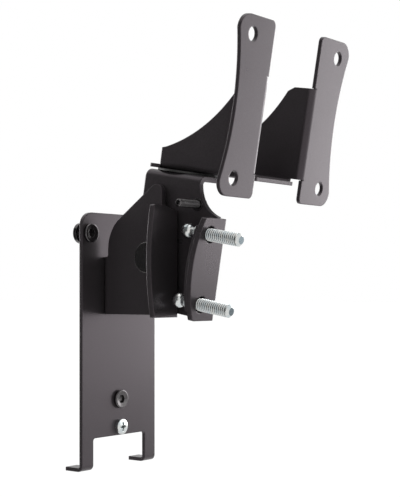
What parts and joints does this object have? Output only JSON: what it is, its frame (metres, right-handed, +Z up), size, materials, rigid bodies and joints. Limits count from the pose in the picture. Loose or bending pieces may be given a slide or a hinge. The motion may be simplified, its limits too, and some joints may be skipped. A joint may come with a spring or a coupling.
{
  "type": "speaker wall bracket",
  "caption": "Hook-on steel wall bracket for a speaker: a folded wall plate carries a tilting arm and a swivelling two-tab cradle, with ball-ended adjusting screws",
  "frame": {"origin": "midway between the two hanging studs, on the back face of the wall plate", "axes": "+X right seen from the front, +Y into the wall, +Z up"},
  "size_m": [0.1005, 0.1157, 0.2265],
  "materials": {
    "black_plate": "satin black powder coat",
    "black_fastener": "black-coated steel",
    "zinc_fastener": "bright zinc-plated steel",
    "dark_washer": "dark friction material"
  },
  "bodies": {
    "wall": {"wall_plate": "black_plate", "hanging_stud_left": "black_fastener", "hanging_stud_right": "black_fastener", "stud_screw_left": "black_fastener", "stud_screw_right": "black_fastener", "lower_screw": "black_fastener", "lower_nut": "zinc_fastener", "locking_screw": "zinc_fastener", "wall_bracket": "black_plate", "bracket_screw_lower": "black_fastener", "bracket_screw_upper": "black_fastener", "bracket_nut_lower": "zinc_fastener", "bracket_nut_upper": "zinc_fastener", "pivot_bolt": "black_fastener", "friction_washer": "dark_washer", "pivot_washer": "zinc_fastener", "pivot_nut": "zinc_fastener"},
    "tilting_arm": {"arm": "black_plate", "screw_strip": "black_plate", "adjusting_screw_lower": "zinc_fastener", "adjusting_screw_upper": "zinc_fastener", "cross_bolt": "black_fastener", "cross_washer": "black_fastener", "swivel_bolt": "black_fastener", "swivel_washer_upper": "zinc_fastener", "swivel_disc": "dark_washer", "swivel_washer_lower": "zinc_fastener", "swivel_nut": "zinc_fastener"},
    "swivel_cradle": {"cradle": "black_plate"}
  },
  "joints": [
    {"name": "tilt", "type": "hinge", "parent": "wall", "child": "tilting_arm", "pos_m": [0, -0.0338, -0.0132], "axis": [1, 0, 0], "range_deg": [-23.3, 3.7]},
    {"name": "swivel", "type": "hinge", "parent": "tilting_arm", "child": "swivel_cradle", "pos_m": [0.0082, -0.04367, 0.03218], "axis": [0, -0.1702, 0.9854], "range_deg": [-30, 30]}
  ]
}
